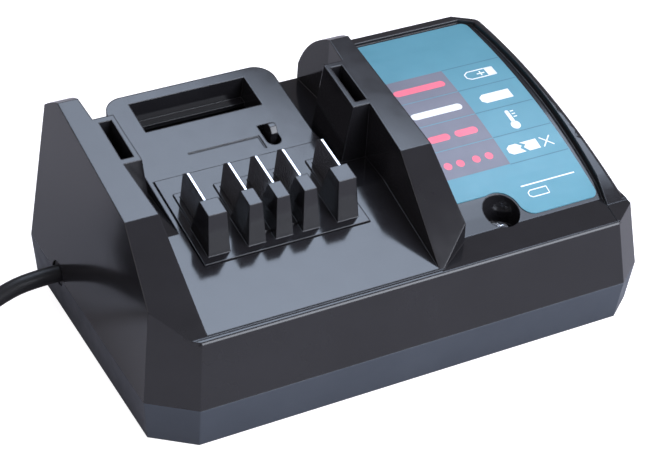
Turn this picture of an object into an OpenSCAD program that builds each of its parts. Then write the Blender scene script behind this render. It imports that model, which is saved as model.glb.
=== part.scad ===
// Desk-top charger for slide-in power tool batteries.
// X runs to the right, Y to the back and Z up. The origin is on the table,
// below the middle of the housing.

/* [Housing] */
// Overall width at the parting line
body_w = 180; // [176:1:200]
// Overall depth at the parting line
body_d = 115; // [112:1:125]
// Height of the lower shell, up to the parting line
base_h = 15.4; // [14:0.1:20]
// Wall thickness of both shells
wall = 2.5; // [2:0.1:3]
// How far the lower shell tapers in at its bottom edge
base_taper = 1.5; // [0:0.1:3]
// Left corner chamfer, across the width
left_chamfer_x = 14.2; // [10:0.1:16]
// Left corner chamfer, along the depth
left_chamfer_y = 10.7; // [8:0.1:13]
// Right corner chamfer, across the width
right_chamfer_x = 10.2; // [8:0.1:13]
// Right corner chamfer, along the depth
right_chamfer_y = 8.1; // [6:0.1:11]
// Height of the front edge of the deck
front_edge_z = 38.2; // [36:0.1:42]

/* [Battery bay] */
// Distance from the left side of the housing to the middle of the bay
bay_offset = 59.6; // [58:0.1:62]
// Half of the bay's width at its front edge
bay_half = 40.4; // [39:0.1:42]
// Outward flare of each bay wall, degrees
bay_flare = 3.3; // [2:0.1:4.5]
// Slope of the deck, degrees
deck_slope = 9.5; // [8:0.1:11]
// Height of the level floor of the two side channels
channel_z = 45.4; // [44:0.1:47]
// Half of the width of the raised wedge plate
wedge_half = 31; // [30:0.1:32]
// Radius of the wedge plate's back corners
wedge_r = 7; // [4:0.5:12]
// Clear width between the two guide towers
tower_gap = 75.5; // [74:0.1:77]
// Length of a guide tower
tower_len = 21.9; // [16:0.1:24]
// Width of the slot in a guide tower
slot_w = 4.2; // [3:0.1:5]
// Depth of the slot in a guide tower
slot_depth = 17; // [8:1:20]
// Width of the latch recess
recess_w = 42.6; // [36:0.1:46]
// Length of the latch recess along the slope
recess_len = 14.4; // [10:0.1:15]
// Depth of the latch recess
recess_depth = 12; // [8:0.5:13]

/* [Rails] */
// Slope of the rails' front, degrees
rail_front_slope = 37.6; // [35:0.1:40]
// Slope of the rails' top, degrees
rail_top_slope = 9; // [7:0.1:11]
// Width of the right rail at its top
rail_w = 11.2; // [9:0.1:13]

/* [Panel] */
// Radius of the panel's convex curve
panel_curve_r = 238; // [200:1:300]
// Width of the rim at the foot of its inner wall
rim_w = 9.4; // [7:0.1:11]
// Thickness of the printed sheet
sheet_t = 0.3; // [0.2:0.05:0.5]
// Diameter of the screw recess
screw_recess_d = 12.5; // [11:0.1:14]

/* [Terminals] */
// Thickness of a contact blade
blade_t = 1; // [0.8:0.1:1.2]
// Height of the contact blades above the deck
blade_h = 13.8; // [10:0.1:15]
// Height of the posts above the deck
post_h = 14.4; // [11:0.1:16]
// Distance from the middle to the outer contacts
outer_pitch = 23.8; // [22:0.1:24.4]
// Distance from the middle to the inner contacts
inner_pitch = 9.6; // [9:0.1:11]

/* [Sensing lever] */
// Thickness of the lever
lever_t = 2.6; // [2:0.1:3.4]
// Height of the lever's finger above the deck
finger_h = 3.2; // [2:0.1:4]
// Width of the opening around the finger
key_slot_w = 5.1; // [4.6:0.1:6]

/* [Circuit board] */
// Thickness of the circuit board
board_t = 1.6; // [1:0.1:2]
// Height of the board's underside
board_z = 7; // [6:0.1:8]
// Diameter of the bulk capacitor
bulk_d = 18; // [14:0.5:20]
// Height of the bulk capacitor
bulk_h = 33; // [20:1:36]
// Height of the transformer core
core_h = 24; // [18:1:28]

/* [Cord] */
// Diameter of the mains cord
cord_d = 5.8; // [5.4:0.1:6.2]
// Diameter of the coil at the middle of its turns
coil_d = 66; // [60:1:72]
// Number of turns side by side in the coil, and one above the other
coil_turns = 3; // [2:1:4]
// Diameter of a plug pin
pin_d = 4; // [3.8:0.1:4.8]
// Length of a plug pin
pin_len = 19; // [17:0.5:20]

/* [Hidden] */

// Clearances and small shared sizes
seat_gap = 0.2;
slide_gap = 0.3;
far = 200;
eps = 0.02;
case_black = [0.14, 0.14, 0.16];
base_slate = [0.28, 0.32, 0.36];
steel = [0.78, 0.78, 0.8];

// Housing, derived
half_w = body_w / 2;
half_d = body_d / 2;
side_draft = 7.2;
front_draft = 11.6;
back_draft = 1;
front_chamfer_draft = 12.5;
back_chamfer_draft = 4.2;
skirt = 20;
front_edge_y = -half_d + (front_edge_z - base_h) * tan(front_draft);

// Rails, derived: the side view of the housing's upper edge
rail_front_y = -half_d + 38.8;
rail_back_y = half_d - 20.3;
ledge = 1.9;
slope_y = front_edge_y + ledge;
rail_front_z = front_edge_z + (rail_front_y - slope_y) * tan(rail_front_slope);
rail_back_z = rail_front_z + (rail_back_y - rail_front_y) * tan(rail_top_slope);
back_arc_z = 51.6;
back_arc_y = half_d - (back_arc_z - base_h) * tan(back_draft);
back_arc_r = 36;
back_top_y = (half_d - (rail_back_z - rail_back_y * tan(rail_top_slope) - base_h) * tan(back_draft))
    / (1 + tan(rail_top_slope) * tan(back_draft));
arc_steps = 8;

// Bay, derived
bay_x = -half_w + bay_offset;
deck_y = -half_d + 8.1;
deck_z = front_edge_z + 0.5;
floor_y = deck_y + (channel_z - deck_z) / tan(deck_slope);
bay_close = 0.9;
wedge_front_y = floor_y - 4;
wedge_back_y = half_d - 2.8;
tower_y = half_d - 52.7;
tower_draft = 8;
tower_top_z = 69;
slot_margin = 2.1;
slot_inset = 1.6;

// Latch recess in deck coordinates, with a ledge along its back
recess_u = 87.1;
recess_x = bay_x - 0.85;
recess_wall = 1.8;
recess_ledge = 3;
recess_ledge_depth = recess_depth - 3;

// Rails and panel, derived
rail_in_top = bay_half + (rail_front_y - slope_y) * tan(bay_flare);
rail_out_x = bay_x + rail_in_top + rail_w;
rail_out_draft = 5;
toe_y = -half_d + 16.5;
toe_front_y = -half_d + 5.8;
toe_in_x = bay_x + bay_half + 0.7;
rim_x = half_w - rim_w;
rim_draft = 12;
rim_back_y = half_d - 4;
rim_turn_y = -half_d + 21.5;
rim_turn = 0.21;
rim_round_r = 3;
land_drop = 0.1;
land_z = front_edge_z - land_drop;
panel_y = -half_d + 18.2;
panel_back_z = 54.9;
rim_front_y = -half_d + 14.1;
rim_front_z = 38.3;
rim_back_z = 56.2;
rim_curve_r = 209;
panel_steps = 18;

// Screws
recess_screw = [half_w - 46.8, -half_d + 23.5];
screw_recess_z = 31.3;
screw_boss_r = 4.2;
shank_r = 1.75;
head_r = 3.3;
head_h = 2.2;
case_screw_at = [
    [-half_w + 11, -half_d + 29.5],
    [-half_w + 11, half_d - 16.5],
    [half_w - 12, half_d - 18.5]
];
case_post_r = 4;
well_r = 4.2;
well_h = 6;

// Terminal block, in deck coordinates
block_u0 = 24.9;
block_u1 = 64.6;
block_half = 29.4;
block_proud = 0.5;
flange = 3;
flange_t = 2.5;
pad_h = 0.6;
pad_u = 56.6;
pad_half = 2.15;
contact_x = bay_x - 0.15;
contacts = [-outer_pitch, -inner_pitch, 0, inner_pitch, outer_pitch];
post_inset = 1;
wide_bottom = 3.8;
wide_top = 3.15;
narrow_bottom = 3.15;
narrow_top = 2.2;
post_front = 27.7;
post_lean = 4.5;
post_back = 41.5;
post_back_lean = 2.5;
blade_gap = 0.1;
blade_end = 54.8;
blade_tip = 2.5;
tail_u0 = 46;
tail_u1 = 52;
tail_h = 8;

// Engraved line, in deck coordinates
mark_x0 = bay_x - 13;
mark_x1 = bay_x + 12.8;
mark_u = 72.8;
mark_w = 0.6;
mark_drop = 5.4;

// Sensing lever, in deck coordinates
lever_x = bay_x + 17.4;
key_x = lever_x - 0.7;
key_u0 = 67.7;
key_u1 = 77.9;
pivot_u = 81.4;
pivot_h = -6;
pivot_r = 1.2;
hub_r = 2.6;
arm_top = -wall - 0.5;
arm_bottom = -8.6;
arm_front = -6.6;
heel_u = 74.6;
finger_u0 = 71.2;
finger_u1 = 76.6;
finger_r = 1.8;
cheek_t = 1.6;
bracket_u0 = 67.5;
bracket_u1 = 85;
switch_u0 = 69.6;
switch_u1 = 82.4;
switch_w = 5.8;
switch_h = 6.5;
button_u = 76;
button_r = 0.8;
button_out = 2;
button_in = 1.6;
button_bore = 4;
button_top = arm_bottom - slide_gap;
switch_top = button_top - button_out;
bracket_floor = switch_top - switch_h;
leg_half = 2.5;
leg_len = 4;

// Circuit board
board_x0 = -half_w + 20;
board_x1 = half_w - 20;
board_y0 = -half_d + 31.5;
board_y1 = half_d - 11.5;
board_top = board_z + board_t;
hole_inset = 6;
board_holes = [
    for (x = [board_x0 + hole_inset, board_x1 - hole_inset])
        for (y = [board_y0 + hole_inset, board_y1 - hole_inset]) [x, y]
];
standoff_r = 3.5;
board_screw_r = 1.4;

// Parts on the board: each place is a named point on the board
fuse_at = [board_x0 + 21, board_y1 - 8];
choke_at = [board_x0 + 24, board_y1 - 24];
film_at = [board_x0 + 42, board_y1 - 8];
bridge_at = [lever_x + 13, board_y1 - 5];
bulk_at = [board_x1 - 30, board_y1 - 12];
core_at = [board_x1 - 29, board_y1 - 44];
core_size = [30, 26];
heat_sink_y0 = board_y0 + hole_inset + 4;
heat_sink_y1 = board_y1 - 22;
heat_sink_at = [board_x1 - 7, (heat_sink_y0 + heat_sink_y1) / 2];
heat_sink_size = [3, heat_sink_y1 - heat_sink_y0, 26];
diode_sink_at = [board_x1 - 61, board_y1 - 54];
diode_sink_size = [2.5, 24, 20];
output_cap_at = [[board_x1 - 50, board_y1 - 62], [board_x1 - 50, board_y1 - 49]];
output_cap_r = 5;
output_cap_h = 20;
chip_at = [board_x0 + 53, board_y1 - 63];
opto_at = [board_x1 - 50, board_y1 - 34];
led_at = [rail_out_x + 6.5, board_y1 - 24.6];
led_r = 1.5;
led_h = 5;
guide_r = 2;

// Cord: the route of its middle line from the bushing to the coil
exit_y = half_d - 34.1;
exit_x = -half_w + 0.8;
bushing_r = 4.2;
bushing_in = 20;
cord_r = cord_d / 2;
coil_at = [-166, 38];
coil_z = 0.8;
coil_r = coil_d / 2;
route = [
    [exit_x, exit_y, base_h],
    [-96, 23.4, 15.3],
    [-104, 23.5, 14.3],
    [-112, 23.3, 11.5],
    [-119, 22.4, 8],
    [-126, 20, 5.2],
    [-132, 16.4, 4],
    [-137, 12.4, 3.7],
    [-142, 8, 3.7]
];
tail_route = [
    [-144.7, 7.6, 19.4],
    [-155.1, 4.4, 20.6],
    [-164.5, 4.5, 21.3],
    [-173.2, 6, 21.9],
    [-180.9, 10.5, 22.8],
    [-186.6, 17.3, 24],
    [-189.5, 25, 25.2],
    [-190, 30, 25.4]
];
route_side = 10;
tie_w = 10;
tie_t = 0.6;
tie_gap = 0.1;
plug_w = 35.3;
plug_flat = 26;
plug_t = 13.8;
plug_l = 34;
plug_neck = 11;
plug_at = [-190, 30, coil_z + coil_turns * cord_d + slide_gap];
pin_pitch = 18.6;

// ---------- helpers ----------

function unit(v) = v / norm(v);

// Moves every edge of a counter-clockwise outline inwards by t
function inset(p, t) = [
    for (i = [0 : len(p) - 1])
        let (
            a = p[(i + len(p) - 1) % len(p)],
            b = p[i],
            c = p[(i + 1) % len(p)],
            u = unit(b - a),
            v = unit(c - b),
            n1 = [-u[1], u[0]],
            n2 = [-v[1], v[0]]
        )
        b + t * (n1 + n2) / (1 + n1 * n2)
];

// Points on a shallow arc of radius r from a to b, bulging to the left of a to b
function arc_points(a, b, r, steps) =
    let (
        half = norm(b - a) / 2,
        along = unit(b - a),
        side = [-along[1], along[0]],
        drop = sqrt(r * r - half * half)
    )
    [
        for (i = [0 : steps])
            let (s = half * (2 * i / steps - 1))
            (a + b) / 2 + along * s + side * (sqrt(r * r - s * s) - drop)
    ];

// An outline in (y, z) becomes a prism along X
module along_x(x0, x1) {
    translate([x0, 0, 0])
        rotate([90, 0, 90])
            linear_extrude(x1 - x0)
                children();
}

// An outline in (x, z) becomes a prism along Y
module along_y(y0, y1) {
    translate([0, y1, 0])
        rotate([90, 0, 0])
            linear_extrude(y1 - y0)
                children();
}

// Deck coordinates: Y runs up the slope and Z stands square to it
module on_deck() {
    translate([0, deck_y, deck_z])
        rotate([deck_slope, 0, 0])
            children();
}

module block_from(x0, x1, y0, y1, z0, z1) {
    translate([x0, y0, z0])
        cube([x1 - x0, y1 - y0, z1 - z0]);
}

module rod(r, h) {
    cylinder(r = r, h = h, $fn = 40);
}

// ---------- housing forms ----------

// Everything outside a drafted corner face through (px, py) at the parting line
module corner_cut(px, py, heading, draft, t) {
    translate([px, py, base_h])
        rotate([0, 0, heading])
            rotate([0, -draft, 0])
                translate([-t, -far, -far])
                    cube([2 * far, 2 * far, 2 * far]);
}

// The four corner faces; dir is 1 for the upper case and -1 for the base
module corner_cuts(t, front, back) {
    left_heading = atan2(left_chamfer_x, left_chamfer_y);
    right_heading = atan2(right_chamfer_x, right_chamfer_y);
    corner_cut(-half_w, -half_d + left_chamfer_y, 180 + left_heading, front, t);
    corner_cut(-half_w, half_d - left_chamfer_y, 180 - left_heading, back, t);
    corner_cut(half_w, -half_d + right_chamfer_y, -right_heading, front, t);
    corner_cut(half_w, half_d - right_chamfer_y, right_heading, back, t);
}

// The side view of the whole housing, before the rails' backs are rounded
function case_side(t) = inset(
    [
        [-half_d - skirt * tan(front_draft), base_h - skirt],
        [half_d + skirt * tan(back_draft), base_h - skirt],
        [back_top_y, rail_back_z + (back_top_y - rail_back_y) * tan(rail_top_slope)],
        [rail_front_y, rail_front_z],
        [slope_y, front_edge_z],
        [front_edge_y, front_edge_z]
    ],
    t
);

// Behind the rounded back of the rails, grown by g
module rail_back(g) {
    along_x(-far, far)
        polygon(inset(concat(
            [[far, base_h], [far, far], [rail_back_y, far]],
            arc_points([rail_back_y, rail_back_z], [back_arc_y, back_arc_z], back_arc_r, arc_steps),
            [[back_arc_y + tan(back_draft), back_arc_z - 1], [back_arc_y + back_arc_r, base_h]]
        ), -g));
}

function case_front(t) = inset(
    [
        [-half_w - skirt * tan(side_draft), base_h - skirt],
        [half_w + skirt * tan(side_draft), base_h - skirt],
        [half_w - (far - base_h) * tan(side_draft), far],
        [-half_w + (far - base_h) * tan(side_draft), far]
    ],
    t
);

// The housing's outer form above the parting line, moved inwards by t
module case_block(t) {
    difference() {
        intersection() {
            along_x(-far, far)
                polygon(case_side(t));
            along_y(-far, far)
                polygon(case_front(t));
        }
        corner_cuts(t, front_chamfer_draft, back_chamfer_draft);
        difference() {
            rail_back(t);
            right_of_rail(-t - 1);
        }
        rim_round(t);
    }
}

// What lies outside a disc with a rounded edge, which shapes the rim's outer edge
module rim_round(t) {
    chord = [half_d - rim_front_y, rim_back_z - rim_front_z];
    drop = sqrt(rim_curve_r * rim_curve_r - chord * chord / 4);
    middle = [rim_front_y, rim_front_z] + chord / 2 + drop * [chord[1], -chord[0]] / norm(chord);
    r = rim_curve_r - t;
    deep = 3 * rim_w;
    top = (middle[1] + rim_curve_r - base_h) / cos(side_draft);
    round_mid = r - rim_round_r * (1 - sin(side_draft)) / cos(side_draft);
    difference() {
        block_from(rim_x - rim_w / 2, far, -far, far, front_edge_z + 0.5, rim_back_z + deep);
        translate([half_w, middle[0], base_h])
            rotate([0, -side_draft, 0])
                translate([-t, 0, top - rim_curve_r])
                    rotate([0, 90, 0])
                        rotate_extrude($fn = 120)
                            polygon(concat(
                                [[0, -deep], [r + deep * tan(side_draft), -deep]],
                                [
                                    for (k = [6 : -1 : 0])
                                        let (a = k * (90 - side_draft) / 6)
                                        [round_mid + rim_round_r * sin(a), -rim_round_r * (1 - cos(a))]
                                ],
                                [[0, 0]]
                            ));
    }
}

function deck_height(y) = deck_z + (y - deck_y) * tan(deck_slope);
function bay_width(y) = bay_half + (y - slope_y) * tan(bay_flare);

// The space between the rails and above the bay floor, grown by g
module bay_cut(g) {
    intersection() {
        along_x(-far, far)
            polygon(inset([
                [-far, deck_height(-far)],
                [floor_y, channel_z],
                [far, channel_z],
                [far, far],
                [-far, far]
            ], -g));
        linear_extrude(far)
            polygon(inset([
                [bay_x - bay_width(-far), -far],
                [bay_x + bay_width(-far), -far],
                [bay_x + bay_width(rail_back_y), rail_back_y],
                [bay_x + bay_width(rail_back_y) - bay_close, half_d],
                [bay_x - bay_width(rail_back_y) + bay_close, half_d],
                [bay_x - bay_width(rail_back_y), rail_back_y]
            ], -g));
    }
}

module wedge_plan(t) {
    w = wedge_half - t;
    back = wedge_back_y - t;
    r = wedge_r - t;
    translate([bay_x - w, wedge_front_y])
        square([2 * w, back - r - wedge_front_y]);
    translate([bay_x - w + r, back - 2 * r])
        square([2 * (w - r), 2 * r]);
    for (side = [-1, 1])
        translate([bay_x + side * (w - r), back - r])
            circle(r, $fn = 48);
}

// The wedge plate that carries on the deck's slope between the two channels
module wedge(t, bottom) {
    intersection() {
        linear_extrude(far)
            wedge_plan(t);
        along_x(-far, far)
            polygon([
                [wedge_front_y, bottom],
                [far, bottom],
                [far, deck_height(far) - t / cos(deck_slope)],
                [floor_y, deck_height(floor_y) - t / cos(deck_slope)]
            ]);
    }
}

// A guide tower: side is -1 for the left one and 1 for the right one
module tower(side) {
    intersection() {
        case_block(0);
        along_y(tower_y, tower_y + tower_len)
            polygon([
                [bay_x + side * bay_width(rail_back_y), channel_z - eps],
                [bay_x + side * bay_width(rail_back_y), far],
                [bay_x + side * (tower_gap / 2), far],
                [bay_x + side * (tower_gap / 2), tower_top_z],
                [bay_x + side * (tower_gap / 2 - (tower_top_z - channel_z) * tan(tower_draft)), channel_z - eps]
            ]);
    }
}

module tower_slot(side) {
    inner = tower_gap / 2 + slot_inset;
    translate([bay_x + side * (inner + slot_w / 2) - slot_w / 2, tower_y + slot_margin, tower_top_z - slot_depth])
        cube([slot_w, tower_len - 2 * slot_margin, far]);
}

// The panel's and the rim's curves, from their front end to the housing's back
function panel_arc() = arc_points([panel_y, land_z], [half_d, panel_back_z], panel_curve_r, panel_steps);
function rim_arc() = arc_points([rim_front_y, rim_front_z], [half_d, rim_back_z], rim_curve_r, panel_steps);

// Above the curved panel, grown by g
module above_panel(g) {
    along_x(-far, far)
        polygon(inset(concat(
            [[-far, land_z]],
            panel_arc(),
            [[far, panel_back_z], [far, far], [-far, far]]
        ), -g));
}

module above_rim(g) {
    along_x(-far, far)
        polygon(inset(concat(
            [[-far, land_z + land_drop / 2], [front_edge_y, land_z + land_drop / 2]],
            rim_arc(),
            [[far, rim_back_z], [far, far], [-far, far]]
        ), -g));
}

// Right of the right rail's drafted outer wall
module right_of_rail(g) {
    along_y(-far, far)
        polygon(inset([
            [rail_out_x + (rail_front_z) * tan(rail_out_draft), 0],
            [far, 0],
            [far, far],
            [rail_out_x - (far - rail_front_z) * tan(rail_out_draft), far]
        ], -g));
}

// In front of the slanting face that cuts the toe of the right rail
module toe_plan(g) {
    polygon(inset([
        [toe_in_x, -far],
        [far, -far],
        [far, far],
        [rail_out_x + 2, far],
        [rail_out_x + 2, toe_y],
        [toe_in_x, toe_front_y]
    ], -g));
}

// Inside the rim's drafted inner wall, turned so that its foot keeps its distance from the sheet up the panel
module inside_rim(g) {
    climb = (panel_back_z - land_z) / (half_d - panel_y);
    intersection() {
        translate([rim_x, panel_y, 0])
            rotate([0, 0, atan(tan(rim_draft) * climb)])
                along_y(-far, far)
                    polygon(inset([
                        [-far, 0],
                        [-land_z * tan(rim_draft), 0],
                        [(far - land_z) * tan(rim_draft), far],
                        [-far, far]
                    ], -g));
        linear_extrude(far)
            polygon(inset([
                [-far, -far],
                [rim_x - (far + rim_turn_y) * rim_turn, -far],
                [rim_x + (far - rim_turn_y) * rim_turn, far],
                [-far, far]
            ], -g));
        block_from(-far, far, -far, rim_back_y + g, 0, far);
    }
}

// What is taken off above the panel and its rim, grown by g
module right_cut(g) {
    intersection() {
        right_of_rail(g);
        above_rim(g);
    }
    intersection() {
        linear_extrude(far)
            toe_plan(g);
        right_of_toe(g);
        above_panel(g);
        inside_rim(g);
    }
}

module right_of_toe(g) {
    union() {
        right_of_rail(g);
        block_from(toe_in_x - g, far, -far, toe_y + 2, 0, far);
    }
}

// ---------- upper case ----------

module recess_cup(t, extra) {
    on_deck()
        difference() {
            block_from(recess_x - recess_w / 2 - t, recess_x + recess_w / 2 + t,
                recess_u - t, recess_u + recess_len + t, -recess_depth - t, extra);
            block_from(-far, far, recess_u + recess_len - recess_ledge, far,
                -far, -recess_ledge_depth - t);
        }
}

module screw_cup(r, bottom) {
    translate([recess_screw[0], recess_screw[1], bottom])
        rod(r, far);
}

module upper_case() {
    color(case_black)
        difference() {
            union() {
                upper_shell();
                inside_shell() {
                    recess_cup(recess_wall, -eps);
                    screw_cup(screw_recess_d / 2 + wall, screw_recess_z - wall);
                    for (p = case_screw_at)
                        translate([p[0], p[1], base_h])
                            rod(case_post_r, far);
                }
            }
            recess_cup(0, wall);
            intersection() {
                screw_cup(screw_recess_d / 2, screw_recess_z);
                above_toe_level();
            }
            for (side = [-1, 1])
                tower_slot(side);
            terminal_window();
            key_slot();
            deck_line();
            translate([recess_screw[0], recess_screw[1], 0])
                rod(shank_r + seat_gap, far);
            for (p = case_screw_at)
                translate([p[0], p[1], base_h - 1])
                    rod(shank_r + eps, 13);
            bushing_hole();
            translate([led_at[0], led_at[1], 20])
                rod(guide_r + seat_gap, far);
        }
}

module above_toe_level() {
    block_from(-far, far, -far, far, screw_recess_z, far);
}

// Keeps what is drawn inside the outer form of the case
module inside_shell() {
    intersection() {
        case_solid();
        union()
            children();
    }
}

module case_solid() {
    difference() {
        case_block(0);
        bay_cut(0);
        right_cut(0);
        block_from(-far, far, -far, far, -far, base_h);
    }
    intersection() {
        wedge(0, channel_z - 1);
        block_from(-far, far, -far, far, base_h, far);
    }
}

module case_hollow() {
    difference() {
        case_block(wall);
        bay_cut(wall);
        right_cut(wall);
    }
    wedge(wall, base_h - 5);
}

module upper_shell() {
    difference() {
        union() {
            case_solid();
            tower(-1);
            tower(1);
        }
        case_hollow();
    }
}

module terminal_window() {
    on_deck()
        block_from(bay_x - block_half, bay_x + block_half, block_u0, block_u1, -wall - 3, 6);
}

module key_slot() {
    r = key_slot_w / 2;
    on_deck()
        translate([key_x, 0, -wall - 2]) {
            translate([-r, key_u0 + r, 0])
                cube([2 * r, key_u1 - key_u0 - r, 8]);
            translate([0, key_u0 + r, 0])
                rod(r, 8);
        }
}

// A fine engraved line across the deck that turns down at its right end
module deck_line() {
    on_deck() {
        block_from(mark_x0, mark_x1, mark_u, mark_u + mark_w, -mark_w / 2, wall);
        block_from(mark_x1 - mark_w, mark_x1, mark_u - mark_drop, mark_u + mark_w, -mark_w / 2, wall);
    }
}

module bushing_hole() {
    translate([-half_w - 5, exit_y, base_h])
        rotate([0, 90, 0])
            rod(bushing_r + seat_gap, 12);
}

// ---------- base cover ----------

// The housing's outline at the parting line
function parting_plan() = [
    [-half_w + left_chamfer_x, -half_d],
    [half_w - right_chamfer_x, -half_d],
    [half_w, -half_d + right_chamfer_y],
    [half_w, half_d - right_chamfer_y],
    [half_w - right_chamfer_x, half_d],
    [-half_w + left_chamfer_x, half_d],
    [-half_w, half_d - left_chamfer_y],
    [-half_w, -half_d + left_chamfer_y]
];

module base_block(t) {
    bottom = base_taper / base_h;
    difference() {
        intersection() {
            along_x(-far, far)
                polygon(inset([
                    [-half_d + base_taper, 0],
                    [half_d - base_taper, 0],
                    [half_d, base_h],
                    [half_d + bottom * far, base_h + far],
                    [-half_d - bottom * far, base_h + far],
                    [-half_d, base_h]
                ], t));
            along_y(-far, far)
                polygon(inset([
                    [-half_w + base_taper, 0],
                    [half_w - base_taper, 0],
                    [half_w + bottom * far, base_h + far],
                    [-half_w - bottom * far, base_h + far]
                ], t));
        }
        corner_cuts(t, -atan(bottom), -atan(bottom));
    }
}

lip_t = 1.2;
lip_h = 2;
foot_step = 0.8;
foot_w = 6;

module base_cover() {
    color(base_slate)
        difference() {
            union() {
                difference() {
                    base_block(0);
                    base_block(wall);
                    block_from(-2 * far, 2 * far, -2 * far, 2 * far, base_h, 2 * far);
                }
                base_lip();
                intersection() {
                    base_block(0);
                    block_from(-far, far, -far, far, 0, base_h);
                    base_posts();
                }
                translate([recess_screw[0], recess_screw[1], wall / 2])
                    rod(screw_boss_r, screw_recess_z - wall - seat_gap - wall / 2);
            }
            base_underside();
            for (p = case_screw_at)
                translate([p[0], p[1], -1]) {
                    rod(well_r, 1 + well_h);
                    rod(shank_r + seat_gap, 30);
                }
            translate([recess_screw[0], recess_screw[1], 10])
                rod(shank_r + eps, 40);
            for (p = board_holes)
                translate([p[0], p[1], wall + 0.5])
                    rod(board_screw_r + eps, 20);
            bushing_hole();
        }
}

module base_posts() {
    for (p = case_screw_at)
        translate([p[0], p[1], 0])
            rod(case_post_r + 2, base_h);
    for (p = board_holes)
        translate([p[0], p[1], 0])
            rod(standoff_r, board_z);
}

// Locating lip that stands inside the upper case all round, open at the bushing
module base_lip() {
    difference() {
        intersection() {
            case_block(wall + slide_gap);
            block_from(-far, far, -far, far, base_h - 3, base_h + lip_h);
        }
        case_block(wall + slide_gap + lip_t);
        block_from(-half_w, -half_w + 20, exit_y - 9, exit_y + 9, 0, far);
        for (p = case_screw_at)
            translate([p[0], p[1], base_h])
                rod(case_post_r + slide_gap, 20);
    }
}

// A shallow relief leaves a standing rim all round
module base_underside() {
    translate([0, 0, -1])
        linear_extrude(1 + foot_step)
            polygon(inset(parting_plan(), base_taper + foot_w));
}

// ---------- terminals ----------

module post(x, bottom, top) {
    intersection() {
        along_x(x - bottom, x + bottom)
            polygon([
                [post_front, 0],
                [post_back, 0],
                [post_back - post_back_lean, post_h],
                [post_front + post_lean, post_h]
            ]);
        along_y(post_front, post_back)
            polygon([
                [x - bottom, 0],
                [x + bottom, 0],
                [x + top, post_h],
                [x - top, post_h]
            ]);
    }
}

module terminal_block() {
    color(case_black)
        on_deck()
            difference() {
                union() {
                    block_from(bay_x - block_half + seat_gap, bay_x + block_half - seat_gap,
                        block_u0 + seat_gap, block_u1 - seat_gap, -wall - 1, block_proud);
                    block_from(bay_x - wedge_half + wall + 1, bay_x + wedge_half - wall - 1,
                        block_u0 - flange, block_u1 + 1, -wall - flange_t, -wall);
                    for (i = [0 : 4])
                        if (abs(contacts[i]) == outer_pitch)
                            post(contact_x + contacts[i] - sign(contacts[i]) * post_inset, wide_bottom, wide_top);
                        else
                            post(contact_x + contacts[i], narrow_bottom, narrow_top);
                    for (x = [-outer_pitch, outer_pitch])
                        pad(contact_x + x - pad_half, contact_x + x + pad_half);
                    pad(contact_x - inner_pitch - pad_half, contact_x + inner_pitch + pad_half);
                }
                for (i = [0 : 4])
                    block_from(contact_x + contacts[i] - blade_t / 2 - 0.1, contact_x + contacts[i] + blade_t / 2 + 0.1,
                        post_back, blade_end + 0.1, -10, 3);
            }
}

module pad(x0, x1) {
    block_from(x0, x1, post_front + 4, pad_u, 0, block_proud + pad_h);
}

module terminal(i) {
    x = contact_x + contacts[i];
    front = post_back + blade_gap;
    color(steel)
        on_deck()
            along_x(x - blade_t / 2, x + blade_t / 2)
                polygon([
                    [front, -wall - flange_t],
                    [tail_u0, -wall - flange_t],
                    [tail_u0, -wall - tail_h],
                    [tail_u1, -wall - tail_h],
                    [tail_u1, -wall - flange_t],
                    [blade_end, -wall - flange_t],
                    [blade_end, blade_h - blade_tip],
                    [blade_end - blade_tip, blade_h],
                    [front - post_back_lean * blade_h / post_h, blade_h],
                    [front, 0]
                ]);
}

module terminal_1() { terminal(0); }
module terminal_2() { terminal(1); }
module terminal_3() { terminal(2); }
module terminal_4() { terminal(3); }
module terminal_5() { terminal(4); }

// ---------- sensing lever ----------

module sense_lever() {
    color(case_black)
        on_deck()
            difference() {
                along_x(lever_x - lever_t / 2, lever_x + lever_t / 2)
                    union() {
                        translate([pivot_u, pivot_h])
                            circle(hub_r, $fn = 40);
                        polygon([
                            [finger_u0, arm_front],
                            [heel_u - 1, arm_front],
                            [heel_u, arm_bottom],
                            [pivot_u, arm_bottom],
                            [pivot_u, pivot_h + hub_r - 0.4],
                            [finger_u1, arm_top],
                            [finger_u1, finger_h - finger_r],
                            [finger_u1 - finger_r, finger_h],
                            [finger_u0 + finger_r, finger_h],
                            [finger_u0, finger_h - finger_r]
                        ]);
                    }
                translate([lever_x - 5, pivot_u, pivot_h])
                    rotate([0, 90, 0])
                        rod(pivot_r + 0.05, 10);
            }
}

module lever_pin() {
    color(steel)
        on_deck()
            translate([lever_x - lever_t / 2 - slide_gap - cheek_t, pivot_u, pivot_h])
                rotate([0, 90, 0])
                    rod(pivot_r, lever_t + 2 * slide_gap + 2 * cheek_t);
}

module sense_bracket() {
    color([0.2, 0.2, 0.22])
        on_deck()
            difference() {
                union() {
                    for (side = [-1, 1])
                        translate([lever_x + side * (switch_w / 2 + slide_gap + cheek_t / 2) - cheek_t / 2, bracket_u0, bracket_floor])
                            cube([cheek_t, bracket_u1 - bracket_u0, -wall - bracket_floor]);
                    block_from(lever_x - switch_w / 2 - slide_gap - cheek_t, lever_x + switch_w / 2 + slide_gap + cheek_t,
                        bracket_u0, bracket_u1, bracket_floor - cheek_t, bracket_floor);
                }
                block_from(lever_x - 1.5, lever_x + 1.5, button_u - leg_half - 2, button_u + leg_half + 2,
                    bracket_floor - cheek_t - 1, bracket_floor + 1);
                translate([lever_x - 10, pivot_u, pivot_h])
                    rotate([0, 90, 0])
                        rod(pivot_r + eps, 20);
            }
}

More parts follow.
